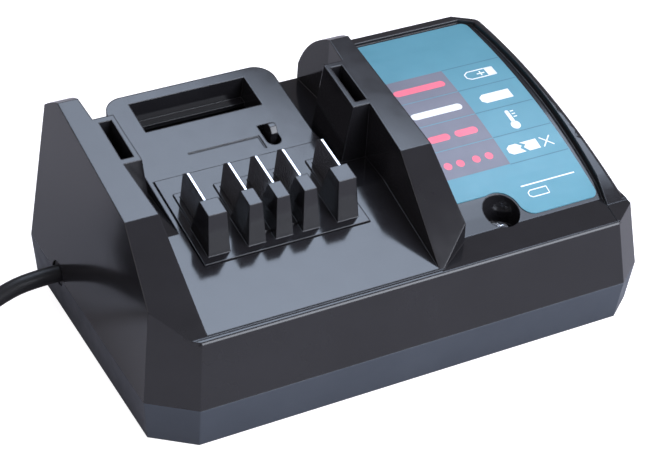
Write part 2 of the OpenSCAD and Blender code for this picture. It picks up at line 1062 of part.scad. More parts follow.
module sense_switch() {
    color([0.1, 0.1, 0.1])
        on_deck() {
            difference() {
                block_from(lever_x - switch_w / 2, lever_x + switch_w / 2,
                    switch_u0, switch_u1, bracket_floor, switch_top);
                translate([lever_x, button_u, switch_top - button_bore])
                    rod(button_r + 0.15, 10);
            }
            for (side = [-1, 1])
                translate([lever_x - 0.4, button_u + side * leg_half - 0.8, bracket_floor - leg_len])
                    cube([0.8, 1.6, leg_len]);
        }
}

module switch_button() {
    color([0.7, 0.1, 0.1])
        on_deck()
            translate([lever_x, button_u, switch_top - button_in])
                rod(button_r, button_in + button_out);
}

// ---------- panel ----------

sheet_x0 = rail_out_x + 3.4;
sheet_x1 = rim_x - 1.6;
sheet_y0 = panel_y + 1.2;
sheet_y1 = rim_back_y - 1.2;
sheet_r = 2.5;
notch_r = 6.9;
notch_y = recess_screw[1] + 6.5;
fillet_r = 5;
fillet_dy = sheet_y0 + fillet_r - recess_screw[1];
fillet_x = recess_screw[0] + sqrt(pow(notch_r + fillet_r, 2) - pow(fillet_dy, 2));

// What the sheet leaves free in front and round the screw recess
module sheet_notch() {
    translate(recess_screw)
        circle(notch_r, $fn = 48);
    translate([0, sheet_y0 - 1])
        square([recess_screw[0], notch_y - sheet_y0 + 1]);
    difference() {
        polygon([
            [recess_screw[0], sheet_y0 - 1],
            [fillet_x, sheet_y0 - 1],
            [fillet_x, sheet_y0 + fillet_r],
            recess_screw
        ]);
        translate([fillet_x, sheet_y0 + fillet_r])
            circle(fillet_r, $fn = 48);
    }
}

module sheet_plan() {
    difference() {
        union() {
            translate([sheet_x0, sheet_y0])
                square([sheet_x1 - sheet_x0 - sheet_r, sheet_y1 - sheet_y0]);
            translate([sheet_x0, sheet_y0 + sheet_r])
                square([sheet_x1 - sheet_x0, sheet_y1 - sheet_y0 - 2 * sheet_r]);
            for (y = [sheet_y0 + sheet_r, sheet_y1 - sheet_r])
                translate([sheet_x1 - sheet_r, y])
                    circle(sheet_r, $fn = 32);
        }
        sheet_notch();
        translate(led_at)
            circle(guide_r + seat_gap, $fn = 32);
    }
}

module label_sheet() {
    lift = eps;
    line = panel_arc();
    color([0.38, 0.66, 0.77])
        intersection() {
            along_x(-far, far)
                polygon(concat(
                    [for (p = line) [p[0], p[1] + lift]],
                    [for (i = [len(line) - 1 : -1 : 0]) [line[i][0], line[i][1] + lift + sheet_t]]
                ));
            linear_extrude(far)
                sheet_plan();
        }
}

function panel_height(y) =
    let (
        line = panel_arc(),
        hit = [for (i = [0 : len(line) - 2]) if (line[i][0] <= y && y < line[i + 1][0]) i][0],
        a = line[hit],
        b = line[hit + 1]
    )
    a[1] + (b[1] - a[1]) * (y - a[0]) / (b[0] - a[0]);

module light_guide() {
    z0 = board_top + led_h + slide_gap;
    color([0.9, 0.95, 0.95])
        translate([led_at[0], led_at[1], z0])
            rod(guide_r, panel_height(led_at[1]) + sheet_t - z0);
}

// ---------- screws ----------

// A screw that points down from its head's underside at the origin
module screw(r, length) {
    translate([0, 0, -length])
        rod(r, length);
    difference() {
        rod(head_r, head_h);
        for (a = [0, 90])
            rotate([0, 0, a])
                translate([-0.5, -2, head_h - 1.2])
                    cube([1, 4, 2]);
    }
}

module top_screw() {
    color(steel)
        translate([recess_screw[0], recess_screw[1], screw_recess_z])
            screw(shank_r, 18);
}

module case_screws() {
    color(steel)
        for (p = case_screw_at)
            translate([p[0], p[1], well_h])
                rotate([180, 0, 0])
                    screw(shank_r, 18);
}

module board_screws() {
    color(steel)
        for (p = board_holes)
            translate([p[0], p[1], board_top]) {
                translate([0, 0, -5])
                    rod(board_screw_r, 5);
                rod(2.7, 1.8);
            }
}

// ---------- circuit board ----------

module circuit_board() {
    color([0.25, 0.42, 0.2])
        difference() {
            block_from(board_x0, board_x1, board_y0, board_y1, board_z, board_top);
            for (p = board_holes)
                translate([p[0], p[1], board_z - 1])
                    rod(board_screw_r + seat_gap, 5);
        }
}

// Puts a part on the board at a named point
module on_board(p) {
    translate([p[0], p[1], board_top])
        children();
}

module fuse() {
    color([0.85, 0.85, 0.8])
        on_board(fuse_at)
            translate([-10, 0, 5])
                rotate([0, 90, 0])
                    rod(2.6, 20);
}

module fuse_clips() {
    color(steel)
        on_board(fuse_at)
            for (side = [-1, 1])
                translate([side * 7 - 2, 0, 0])
                    difference() {
                        translate([0, -3.6, 0])
                            cube([4, 7.2, 6]);
                        translate([-1, 0, 5])
                            rotate([0, 90, 0])
                                rod(2.6 + seat_gap, 6);
                        translate([-1, -2, 5])
                            cube([6, 4, 4]);
                    }
}

module line_choke() {
    color([0.3, 0.3, 0.28])
        on_board(choke_at)
            difference() {
                rod(9, 9);
                translate([0, 0, -1])
                    rod(3.5, 11);
            }
}

module film_capacitor() {
    color([0.8, 0.65, 0.2])
        on_board(film_at)
            translate([-9, -4.5, 0])
                cube([18, 9, 15]);
}

module bridge_rectifier() {
    color([0.12, 0.12, 0.12])
        on_board(bridge_at)
            translate([-9, -2.3, 0])
                cube([18, 4.6, 14]);
}

module bulk_capacitor() {
    groove = 0.8;
    color([0.15, 0.2, 0.35])
        on_board(bulk_at)
            rotate_extrude($fn = 48)
                polygon([
                    [0, 0],
                    [bulk_d / 2, 0],
                    [bulk_d / 2, 2],
                    [bulk_d / 2 - groove, 2.8],
                    [bulk_d / 2, 3.6],
                    [bulk_d / 2, bulk_h - 0.8],
                    [bulk_d / 2 - 0.8, bulk_h],
                    [0, bulk_h]
                ]);
}

module heat_sink(p, size) {
    color([0.75, 0.76, 0.78])
        on_board(p) {
            translate([-size[0] / 2, -size[1] / 2, 0])
                cube(size);
            for (i = [0 : 4])
                translate([size[0] / 2, -size[1] / 2 + i * (size[1] - 1.5) / 4, 0])
                    cube([4, 1.5, size[2]]);
        }
}

module primary_heat_sink() {
    heat_sink(heat_sink_at, heat_sink_size);
}

module output_heat_sink() {
    heat_sink(diode_sink_at, diode_sink_size);
}

// A three-legged power part that stands against the left face of a heat sink
module power_part(p, size) {
    color([0.1, 0.1, 0.1])
        on_board(p)
            translate([-size[0] / 2 - 4.5, 0, 0]) {
                translate([0, -5, 6])
                    cube([4.5, 10, 14]);
                for (i = [-1 : 1])
                    translate([2, i * 2.5 - 0.4, 0])
                        cube([0.8, 0.8, 6]);
            }
}

module power_transistor() {
    power_part(heat_sink_at, heat_sink_size);
}

module output_diode() {
    power_part(diode_sink_at, diode_sink_size);
}

module transformer_core() {
    leg = 7;
    color([0.22, 0.22, 0.22])
        on_board(core_at)
            difference() {
                translate([-core_size[0] / 2, -leg, 0])
                    cube([core_size[0], 2 * leg, core_h]);
                for (side = [-1, 1])
                    translate([side * core_size[0] / 4 - 3.5, -leg - 1, 5])
                        cube([7, 2 * leg + 2, core_h - 10]);
            }
}

module transformer_winding() {
    z0 = 5 + seat_gap;
    z1 = core_h - 5 - seat_gap;
    color([0.85, 0.75, 0.3])
        on_board(core_at)
            difference() {
                translate([-core_size[0] / 4 - 3.3, -core_size[1] / 2, z0])
                    cube([core_size[0] / 2 + 6.6, core_size[1], z1 - z0]);
                translate([-core_size[0] / 4 + 3.3, -7 - seat_gap, 0])
                    cube([core_size[0] / 2 - 6.6, 14 + 2 * seat_gap, core_h]);
            }
}

module output_capacitors() {
    color([0.1, 0.25, 0.2])
        for (p = output_cap_at)
            on_board(p)
                rod(output_cap_r, output_cap_h);
}

module control_chip() {
    color([0.1, 0.1, 0.1])
        on_board(chip_at)
            translate([-5, -3.2, 0])
                cube([10, 6.4, 3.4]);
}

module optocoupler() {
    color([0.9, 0.9, 0.88])
        on_board(opto_at)
            translate([-2.4, -3.2, 0])
                cube([4.8, 6.4, 3.4]);
}

module status_led() {
    color([0.9, 0.3, 0.35])
        on_board(led_at)
            rod(led_r, led_h);
}

// ---------- leads and cord ----------

// A round tube of equal thickness through the given points
function tube_ring(p, dir, r, sides) =
    let (
        d = unit(dir),
        ref = abs(d[2]) > 0.9 ? [1, 0, 0] : [0, 0, 1],
        a = unit(cross(d, ref)),
        b = cross(a, d)
    )
    [for (k = [0 : sides - 1]) p + r * (a * cos(360 * k / sides) + b * sin(360 * k / sides))];

function bend_dir(p, i) =
    i == 0 ? p[1] - p[0] :
    i == len(p) - 1 ? p[i] - p[i - 1] :
    unit(p[i + 1] - p[i]) + unit(p[i] - p[i - 1]);

module tube(path, r, sides) {
    n = len(path);
    points = [for (i = [0 : n - 1]) each tube_ring(path[i], bend_dir(path, i), r, sides)];
    walls = [
        for (i = [0 : n - 2])
            for (k = [0 : sides - 1])
                let (a = i * sides + k, b = i * sides + (k + 1) % sides)
                [a, a + sides, b + sides, b]
    ];
    start = [for (k = [0 : sides - 1]) k];
    finish = [for (k = [0 : sides - 1]) (n - 1) * sides + sides - 1 - k];
    polyhedron(points, concat(walls, [start, finish]));
}

lead_x = board_x0 + 5;

module mains_leads() {
    color([0.35, 0.25, 0.15])
        for (side = [-1, 1])
            tube([
                [exit_x + bushing_in, exit_y + side * 1.4, base_h],
                [exit_x + bushing_in + 1.4, exit_y + side * 1.6, base_h - 0.3],
                [lead_x - 1, exit_y + side * 2.2, base_h - 2],
                [lead_x, exit_y + side * 2.4, board_top + 2],
                [lead_x, exit_y + side * 2.4, board_top]
            ], 1.1, 8);
}

// Where the tail of a blade ends, in housing coordinates
tail_mid = (tail_u0 + tail_u1) / 2;
tail_y = deck_y + tail_mid * cos(deck_slope) + (wall + tail_h) * sin(deck_slope);
tail_z = deck_z + tail_mid * sin(deck_slope) - (wall + tail_h) * cos(deck_slope);

module terminal_leads() {
    color([0.7, 0.15, 0.12])
        for (i = [0 : 4])
            tube([
                [contact_x + contacts[i], tail_y, tail_z - 0.6],
                [contact_x + contacts[i], tail_y, tail_z - 4],
                [contact_x + contacts[i] + 1.5, tail_y - 2, (tail_z + board_top) / 2 + 3],
                [contact_x + contacts[i] + 1.5, tail_y - 2, (tail_z + board_top) / 2 - 3],
                [contact_x + contacts[i], tail_y, board_top + 4],
                [contact_x + contacts[i], tail_y, board_top]
            ], 1.1, 8);
}

// Where the switch's legs end, in housing coordinates
leg_h = bracket_floor - leg_len;
leg_y = deck_y + button_u * cos(deck_slope) - leg_h * sin(deck_slope);
leg_z = deck_z + button_u * sin(deck_slope) + leg_h * cos(deck_slope);

module switch_leads() {
    color([0.2, 0.2, 0.22])
        for (side = [-1, 1])
            tube([
                [lever_x, leg_y + side * leg_half, leg_z - 0.6],
                [lever_x, leg_y + side * leg_half, leg_z - 4],
                [lever_x - 2, leg_y + side * 2 - 1, (leg_z + board_top) / 2],
                [lever_x, leg_y + side * leg_half - 2, board_top + 4],
                [lever_x, leg_y + side * leg_half - 2, board_top]
            ], 0.8, 8);
}

module cord_bushing() {
    neck = wall + seat_gap;
    color(case_black)
        translate([exit_x, exit_y, base_h])
            rotate([0, 90, 0])
                rotate_extrude($fn = 48)
                    polygon([
                        [0, 0],
                        [bushing_r, 0],
                        [bushing_r, neck],
                        [bushing_r + 1.6, neck],
                        [bushing_r + 1.6, neck + 2],
                        [bushing_r, neck + 2],
                        [cord_r + 0.7, bushing_in],
                        [0, bushing_in]
                    ]);
}

module power_cord() {
    color([0.12, 0.12, 0.13]) {
        tube(route, cord_r, route_side);
        tube(tail_route, cord_r, route_side);
    }
}

module cord_coil() {
    half = coil_turns * cord_r;
    color([0.12, 0.12, 0.13])
        translate([coil_at[0], coil_at[1], coil_z])
            rotate_extrude($fn = 64)
                translate([coil_r - half, 0])
                    square([2 * half, 2 * half]);
}

module cord_tie() {
    half = coil_turns * cord_r;
    inner = half + 0.6;
    outer = inner + tie_t;
    color([0.2, 0.2, 0.2])
        translate([coil_at[0] - tie_w / 2, coil_at[1] + coil_r, coil_z])
            difference() {
                translate([0, -outer, -tie_gap - tie_t])
                    cube([tie_w, 2 * outer, 2 * (half + tie_gap + tie_t)]);
                translate([-1, -inner, -tie_gap])
                    cube([tie_w + 2, 2 * inner, 2 * (half + tie_gap)]);
            }
}

// A flat two-pin plug: waisted body with slanted edges
module plug_body() {
    color([0.12, 0.12, 0.13])
        translate(plug_at)
            intersection() {
                linear_extrude(plug_t)
                    polygon([
                        [-plug_neck / 2, 0],
                        [plug_neck / 2, 0],
                        [plug_w / 2 - 3, plug_l - 16],
                        [plug_w / 2, plug_l - 8],
                        [plug_w / 2, plug_l],
                        [-plug_w / 2, plug_l],
                        [-plug_w / 2, plug_l - 8],
                        [-plug_w / 2 + 3, plug_l - 16]
                    ]);
                along_y(0, plug_l)
                    polygon([
                        [-plug_flat / 2, 0],
                        [plug_flat / 2, 0],
                        [plug_w / 2, plug_t / 2],
                        [plug_flat / 2, plug_t],
                        [-plug_flat / 2, plug_t],
                        [-plug_w / 2, plug_t / 2]
                    ]);
            }
}

module plug_pins() {
    color(steel)
        for (side = [-1, 1])
            translate([plug_at[0] + side * pin_pitch / 2, plug_at[1] + plug_l, plug_at[2] + plug_t / 2])
                rotate([-90, 0, 0])
                    rod(pin_d / 2, pin_len);
}

// ---------- output ----------

base_cover();
upper_case();
terminal_block();
terminal_1();
terminal_2();
terminal_3();
terminal_4();
terminal_5();
sense_lever();
lever_pin();
sense_bracket();
sense_switch();
switch_button();
label_sheet();
light_guide();
top_screw();
case_screws();
circuit_board();
board_screws();
mains_leads();
terminal_leads();
switch_leads();
fuse();
fuse_clips();
line_choke();
film_capacitor();
bridge_rectifier();
bulk_capacitor();
power_transistor();
primary_heat_sink();
transformer_core();
transformer_winding();
output_diode();
output_heat_sink();
output_capacitors();
control_chip();
optocoupler();
status_led();
cord_bushing();
power_cord();
cord_coil();
cord_tie();
plug_body();
plug_pins();
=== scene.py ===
import math

import bmesh
import bpy
from mathutils import Matrix, Vector
from mathutils.bvhtree import BVHTree


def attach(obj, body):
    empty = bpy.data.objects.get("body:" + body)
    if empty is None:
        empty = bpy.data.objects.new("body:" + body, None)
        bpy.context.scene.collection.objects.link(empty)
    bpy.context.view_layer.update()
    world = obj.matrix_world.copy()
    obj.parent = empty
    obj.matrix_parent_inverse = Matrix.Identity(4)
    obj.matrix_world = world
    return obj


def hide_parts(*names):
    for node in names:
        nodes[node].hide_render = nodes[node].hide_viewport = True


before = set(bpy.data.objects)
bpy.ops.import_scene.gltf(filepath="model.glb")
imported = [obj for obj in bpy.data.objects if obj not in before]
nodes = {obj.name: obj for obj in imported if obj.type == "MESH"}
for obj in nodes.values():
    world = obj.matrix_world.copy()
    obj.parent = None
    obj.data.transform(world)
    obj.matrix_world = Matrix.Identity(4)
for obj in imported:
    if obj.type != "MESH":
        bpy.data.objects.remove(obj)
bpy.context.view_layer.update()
scene = bpy.context.scene
scene.view_settings.view_transform = "Standard"
MM = 0.001


def add_object(name, data):
    thing = bpy.data.objects.new(name, data)
    scene.collection.objects.link(thing)
    return thing


# ---------- camera ----------

CAMERA_ANGLES = (-30.022, 36.820, 3.758)  # turn, rise and roll in degrees
CAMERA_PLACE = (-0.2801, -0.4792, 0.4357)
CAMERA_LENS = 114.12
CAMERA_SENSOR = 36


def make_camera():
    """The photograph's camera: 30 degrees to the left, 37 above the table, slightly rolled."""
    turn, rise, roll = map(math.radians, CAMERA_ANGLES)
    back = Vector((math.sin(turn) * math.cos(rise), -math.cos(turn) * math.cos(rise), math.sin(rise)))
    level = Vector((math.cos(turn), math.sin(turn), 0))
    steep = back.cross(level)
    right = level * math.cos(roll) + steep * math.sin(roll)
    up = steep * math.cos(roll) - level * math.sin(roll)
    data = bpy.data.cameras.new("camera")
    data.sensor_width = CAMERA_SENSOR
    data.lens = CAMERA_LENS
    camera = add_object("camera", data)
    rows = [[right[i], up[i], back[i], CAMERA_PLACE[i]] for i in range(3)]
    camera.matrix_world = Matrix(rows + [[0, 0, 0, 1]])
    scene.camera = camera


# ---------- nodes that the materials share ----------

BEVEL_SAMPLES = 6


def blank_tree(owner):
    """The emptied node tree of a material or a world."""
    owner.use_nodes = True
    owner.node_tree.nodes.clear()
    return owner.node_tree


def new_material(name):
    material = bpy.data.materials.new(name)
    tree = blank_tree(material)
    output = tree.nodes.new("ShaderNodeOutputMaterial")
    shader = tree.nodes.new("ShaderNodeBsdfPrincipled")
    tree.links.new(shader.outputs["BSDF"], output.inputs["Surface"])
    return material, tree, shader


def fill_shader(tree, shader, colour, gloss, normal=None):
    tree.links.new(colour, shader.inputs["Base Color"])
    tree.links.new(gloss, shader.inputs["Roughness"])
    if normal is not None:
        tree.links.new(normal, shader.inputs["Normal"])


def noise(tree, scale, detail=2.0, stretch=(1, 1, 1)):
    """Noise in object space, where one unit is a metre."""
    place = tree.nodes.new("ShaderNodeTexCoord")
    mapping = tree.nodes.new("ShaderNodeMapping")
    mapping.inputs["Scale"].default_value = stretch
    texture = tree.nodes.new("ShaderNodeTexNoise")
    texture.inputs["Scale"].default_value = scale
    texture.inputs["Detail"].default_value = detail
    tree.links.new(place.outputs["Object"], mapping.inputs["Vector"])
    tree.links.new(mapping.outputs["Vector"], texture.inputs["Vector"])
    return texture.outputs["Fac"]


def remap(tree, value, low, high, start=0.3, end=0.7):
    """Turns the stretch from start to end into the one from low to high."""
    node = tree.nodes.new("ShaderNodeMapRange")
    node.inputs["From Min"].default_value = start
    node.inputs["From Max"].default_value = end
    node.inputs["To Min"].default_value = low
    node.inputs["To Max"].default_value = high
    tree.links.new(value, node.inputs["Value"])
    return node.outputs["Result"]


def mix_colour(tree, factor, a, b):
    """Mixes two colours, each of which is a tuple or the output of a node."""
    node = tree.nodes.new("ShaderNodeMix")
    node.data_type = "RGBA"
    tree.links.new(factor, node.inputs["Factor"])
    for socket, value in ((node.inputs[6], a), (node.inputs[7], b)):
        if isinstance(value, tuple):
            socket.default_value = (*value, 1)
        else:
            tree.links.new(value, socket)
    return node.outputs[2]


def bump(tree, height, strength, distance, under=None):
    """Bumps of a depth in metres, on top of other normals if given."""
    node = tree.nodes.new("ShaderNodeBump")
    node.inputs["Strength"].default_value = strength
    node.inputs["Distance"].default_value = distance
    tree.links.new(height, node.inputs["Height"])
    if under is not None:
        tree.links.new(under, node.inputs["Normal"])
    return node.outputs["Normal"]


def rounded(tree, radius):
    """Shading normals that round each edge to a radius in millimetres."""
    node = tree.nodes.new("ShaderNodeBevel")
    node.samples = BEVEL_SAMPLES
    node.inputs["Radius"].default_value = radius * MM
    return node.outputs["Normal"]


def edge_mask(tree, normal):
    """1 where the rounded normal leaves the flat one, as on an edge: where the painted highlight goes."""
    flat = tree.nodes.new("ShaderNodeNewGeometry").outputs["Normal"]
    dot = tree.nodes.new("ShaderNodeVectorMath")
    dot.operation = "DOT_PRODUCT"
    tree.links.new(normal, dot.inputs[0])
    tree.links.new(flat, dot.inputs[1])
    return remap(tree, dot.outputs["Value"], 1, 0, start=0.80, end=0.99)


# ---------- materials ----------

# Moulded plastic: scales of its noises, depth of the broad unevenness in metres, and how much an edge is
# painted paler as a highlight
MOTTLE_SCALE = 60
GLOSS_SCALE = 170
SWELL_SCALE = 38
SWELL_STRENGTH = 0.25
SWELL_DEPTH = 0.00006
EDGE_HIGHLIGHT_GAIN = 1.9
EDGE_HIGHLIGHT_LIFT = 0.015

# Metal and print: depth of their fine lines in metres, and radius of a metal edge in millimetres
FINE_DEPTH = 0.00001
METAL_SOFT = 0.15


def moulded(name, dark, light, rough, grain=2600, grain_depth=0.01, strength=0.15, highlight_share=0.25, soft=0.45):
    """A moulded surface: mottled colour, fine grain, uneven gloss, and rounded edges painted a little paler
    as a highlight.

    grain is the scale of the fine grain. Its depth and soft, the radius of the edges, are in millimetres.
    """
    material, tree, shader = new_material(name)
    mottle = remap(tree, noise(tree, MOTTLE_SCALE, 4), 0, 1)
    edges = rounded(tree, soft)
    # Painted highlight: the edges' colour is lifted towards a paler tone
    highlight_tone = tuple(min(1.0, c * EDGE_HIGHLIGHT_GAIN + EDGE_HIGHLIGHT_LIFT) for c in light)
    edge_highlight = tuple(c + (r - c) * highlight_share for c, r in zip(light, highlight_tone))
    colour = mix_colour(tree, edge_mask(tree, edges), mix_colour(tree, mottle, dark, light), edge_highlight)
    gloss = remap(tree, noise(tree, GLOSS_SCALE, 3), *rough)
    swell = bump(tree, noise(tree, SWELL_SCALE, 2), SWELL_STRENGTH, SWELL_DEPTH, edges)
    fine = bump(tree, noise(tree, grain, 2), strength, grain_depth * MM, swell)
    fill_shader(tree, shader, colour, gloss, fine)
    return material


def rolled_metal(name, dark, light, rough, stretch=(1, 1, 12), scale=500):
    """Bare metal with fine drawing lines and small changes of gloss."""
    material, tree, shader = new_material(name)
    lines = noise(tree, scale, 3, stretch)
    colour = mix_colour(tree, remap(tree, lines, 0, 1), dark, light)
    gloss = remap(tree, noise(tree, 900, 3, stretch), *rough)
    normal = bump(tree, lines, 0.06, FINE_DEPTH, rounded(tree, METAL_SOFT))
    fill_shader(tree, shader, colour, gloss, normal)
    shader.inputs["Metallic"].default_value = 1
    return material


def printed(name, dark, light, rough=(0.34, 0.44)):
    """Ink under a satin film: an even colour with a faint weave of print and film."""
    material, tree, shader = new_material(name)
    colour = mix_colour(tree, remap(tree, noise(tree, 90, 3), 0, 1), dark, light)
    gloss = remap(tree, noise(tree, 260, 2), *rough)
    weave = bump(tree, noise(tree, 1800, 1), 0.08, FINE_DEPTH)
    fill_shader(tree, shader, colour, gloss, weave)
    return material


def circuit(name):
    """Green lacquer over copper tracks."""
    material, tree, shader = new_material(name)
    place = tree.nodes.new("ShaderNodeTexCoord")
    cells = tree.nodes.new("ShaderNodeTexVoronoi")
    cells.distance = "CHEBYCHEV"
    cells.feature = "F2"
    cells.inputs["Scale"].default_value = 180
    tree.links.new(place.outputs["Object"], cells.inputs["Vector"])
    track = remap(tree, cells.outputs["Distance"], 0, 1, start=0.52, end=0.56)
    colour = mix_colour(tree, track, (0.02, 0.10, 0.03), (0.05, 0.20, 0.06))
    gloss = remap(tree, noise(tree, 200), 0.25, 0.4)
    fill_shader(tree, shader, colour, gloss, bump(tree, track, 0.3, 0.00005))
    return material


def clear_plastic(name):
    material, tree, shader = new_material(name)
    cloud = remap(tree, noise(tree, 300), 0, 1)
    colour = mix_colour(tree, cloud, (0.75, 0.82, 0.84), (0.85, 0.9, 0.9))
    gloss = remap(tree, noise(tree, 500), 0.08, 0.16)
    fill_shader(tree, shader, colour, gloss)
    shader.inputs["Transmission Weight"].default_value = 0.6
    return material


CASE = moulded("case_black", (0.0135, 0.0130, 0.0145), (0.0165, 0.0160, 0.0180), (0.10, 0.14),
               grain=1900, grain_depth=0.008, strength=0.05, soft=0.6)
BLOCK = moulded("block_black", (0.0125, 0.0120, 0.0135), (0.0155, 0.0150, 0.0170), (0.10, 0.15),
                grain=1900, grain_depth=0.006, strength=0.06)
BASE = moulded("base_slate", (0.040, 0.049, 0.064), (0.046, 0.056, 0.072), (0.38, 0.48),
               grain=1500, grain_depth=0.03, strength=0.35, soft=0.8)
# The cord's edges get a weaker painted highlight
RUBBER = moulded("cord_black", (0.009, 0.009, 0.010), (0.014, 0.014, 0.016), (0.38, 0.5),
                 grain=1200, grain_depth=0.04, strength=0.3, highlight_share=0.1)
BLADE = rolled_metal("blade_tin", (0.70, 0.70, 0.71), (0.80, 0.80, 0.81), (0.18, 0.26))
SCREW = rolled_metal("screw_zinc", (0.62, 0.63, 0.65), (0.73, 0.74, 0.76), (0.22, 0.32),
                     stretch=(12, 1, 1), scale=300)
TEAL = printed("sheet_teal", (0.094, 0.280, 0.350), (0.104, 0.300, 0.374), (0.30, 0.40))
GREY = printed("print_grey", (0.172, 0.170, 0.210), (0.190, 0.188, 0.230))
PINK = printed("print_red", (0.93, 0.155, 0.225), (1.0, 0.180, 0.255))
WHITE = printed("print_white", (0.86, 0.87, 0.88), (0.93, 0.94, 0.95))
LINE = printed("print_line", (0.060, 0.170, 0.230), (0.070, 0.190, 0.250))


# ---------- copies of the CAD nodes, and their creases ----------

WELD = 0.002 * MM
JOIN_ANGLE = math.radians(0.35)
FLAT_ANGLE = math.radians(0.3)
SHARP = math.radians(16.5)
CREASE = math.radians(2)
WIDE = 2.0 * MM
NORMAL_WEIGHT = 60


def place_key(vertex):
    return tuple(round(c / WELD) for c in vertex.co)


def merged_copy(node, name, join):
    """A welded copy of a CAD node, with its flat faces joined if asked, and the borders of its CAD faces."""
    mesh = nodes[node].data.copy()
    mesh.materials.clear()
    piece = add_object(name, mesh)
    shape = bmesh.new()
    shape.from_mesh(mesh)
    borders = {frozenset(map(place_key, edge.verts)) for edge in shape.edges if len(edge.link_faces) < 2}
    bmesh.ops.remove_doubles(shape, verts=shape.verts, dist=WELD)
    if join:
        bmesh.ops.dissolve_limit(shape, angle_limit=JOIN_ANGLE, verts=shape.verts, edges=shape.edges)
    return piece, shape, borders


def flat_regions(shape):
    """Numbers the flat regions of the faces and gives each one's mean width."""
    region, widths = {}, []
    for seed in shape.faces:
        if seed in region:
            continue
        region[seed] = len(widths)
        area, border, queue = 0.0, 0.0, [seed]
        while queue:
            face = queue.pop()
            area += face.calc_area()
            for edge in face.edges:
                beside = [f for f in edge.link_faces if f is not face]
                if not beside or edge.calc_face_angle(1) > FLAT_ANGLE:
                    border += edge.calc_length()
                elif beside[0] not in region:
                    region[beside[0]] = len(widths)
                    queue.append(beside[0])
        widths.append(2 * area / border if border else 0)
    return region, widths


def mark_creases(shape, borders):
    """Sharp edges: the steep ones, and shallow ones between two wide flat faces.

    Facets of a curve stay smooth.
    """
    region, widths = flat_regions(shape)
    for edge in shape.edges:
        angle = edge.calc_face_angle(0) if len(edge.link_faces) == 2 else 0
        edge.smooth = angle < SHARP
        if CREASE < angle < SHARP and frozenset(map(place_key, edge.verts)) in borders:
            edge.smooth = min(widths[region[f]] for f in edge.link_faces) < WIDE


# ---------- mends to the case ----------

# The case's front top edge: radius of its rounding, height of the edge and number of facets
FRONT_RADIUS = 1.4
FRONT_TOP = 38.2
FRONT_STEPS = 7
# The front wall lies further forward than this
FRONT_LIMIT = -50
# How far past the rounding a face or corner still counts as part of the edge, also in radians
FRONT_SLACK = 0.05
ANGLE_SLACK = 0.001
# A corner this close to a cut is taken to lie on it
CUT_DISTANCE = 0.0005

# The wedge that closes the rim's back right corner: x, y and top height of its corners, and its foot
CORNER_WEDGE = [(80.02, 53.55, 56.41), (81.17, 52.61, 56.46), (81.28, 49.87, 56.58), (76.7, 53.55, 56.41)]
CORNER_FOOT = 54.9


def front_wall(shape):
    walls = [f for f in shape.faces if f.normal.y < -0.9 and f.calc_center_median().y < FRONT_LIMIT * MM]
    return max(walls, key=lambda f: f.calc_area())


def near_front_edge(shape, y, z):
    """The faces round the front edge, with their edges and corners; y and z are the rounding's middle."""
    near = [f for f in shape.faces if (f.normal.y < -0.1 or f.normal.z > 0.5)
            and min(v.co.y for v in f.verts) < y * MM and max(v.co.z for v in f.verts) > z * MM
            and min(v.co.z for v in f.verts) < (FRONT_TOP + FRONT_SLACK) * MM]
    return list({v for f in near for v in f.verts} | {e for f in near for e in f.edges} | set(near))


def round_front(shape):
    """Rounds the edge where the case's front wall meets its top. Sizes in millimetres."""
    wall = front_wall(shape)
    ny, nz = wall.normal.y, wall.normal.z
    depth = (ny * wall.verts[0].co.y + nz * wall.verts[0].co.z) / MM
    z = FRONT_TOP - FRONT_RADIUS
    y = (depth - FRONT_RADIUS - nz * z) / ny
    last = math.atan2(-ny, nz)
    for k in range(FRONT_STEPS + 1):
        angle = last * k / FRONT_STEPS
        across = (0, math.cos(angle), math.sin(angle))
        bmesh.ops.bisect_plane(shape, geom=near_front_edge(shape, y, z), dist=CUT_DISTANCE * MM,
                               plane_co=(0, y * MM, z * MM), plane_no=across)
    for vertex in shape.verts:
        out, rise = -(vertex.co.y / MM - y), vertex.co.z / MM - z
        if rise <= FRONT_RADIUS + FRONT_SLACK and -ANGLE_SLACK <= math.atan2(out, rise) <= last + ANGLE_SLACK:
            reach = math.hypot(out, rise)
            if reach > FRONT_RADIUS:
                vertex.co.y = (y - out * FRONT_RADIUS / reach) * MM
                vertex.co.z = (z + rise * FRONT_RADIUS / reach) * MM


def fill_corner(shape):
    """Closes the rim at its back right corner, where the chamfer meets the recess."""
    low = [shape.verts.new((x * MM, y * MM, CORNER_FOOT * MM)) for x, y, _ in CORNER_WEDGE]
    high = [shape.verts.new((x * MM, y * MM, z * MM)) for x, y, z in CORNER_WEDGE]
    fresh = [shape.faces.new(low), shape.faces.new(high)]
    fresh += [shape.faces.new([low[i], low[i - 1], high[i - 1], high[i]]) for i in range(len(low))]
    bmesh.ops.recalc_face_normals(shape, faces=fresh)


def mend_case(shape):
    round_front(shape)
    fill_corner(shape)


# ---------- rounded edges ----------

VIEW_TILTS = (0, 25, 50)
VIEW_SPIN = 60
VIEW_START = 0.05 * MM


def open_to_view(edge, tree):
    """True if the edge can be seen from outside the node."""
    outward = (edge.link_faces[0].normal + edge.link_faces[1].normal).normalized()
    middle = (edge.verts[0].co + edge.verts[1].co) / 2 + outward * VIEW_START
    aside = outward.orthogonal()
    for tilt in VIEW_TILTS:
        for spin in range(0, 360, VIEW_SPIN if tilt else 360):
            ray = outward * math.cos(math.radians(tilt))
            ray += (Matrix.Rotation(math.radians(spin), 3, outward) @ aside) * math.sin(math.radians(tilt))
            if tree.ray_cast(middle, ray)[0] is None:
                return True
    return False


def under_edge(edge):
    """True for the base's outer edge on the table side."""
    return all(v.co.z < 0.6 * MM for v in edge.verts) and any(
        abs(f.normal.z) < 0.5 and f.normal.dot(edge.verts[0].co) > 0 for f in edge.link_faces)


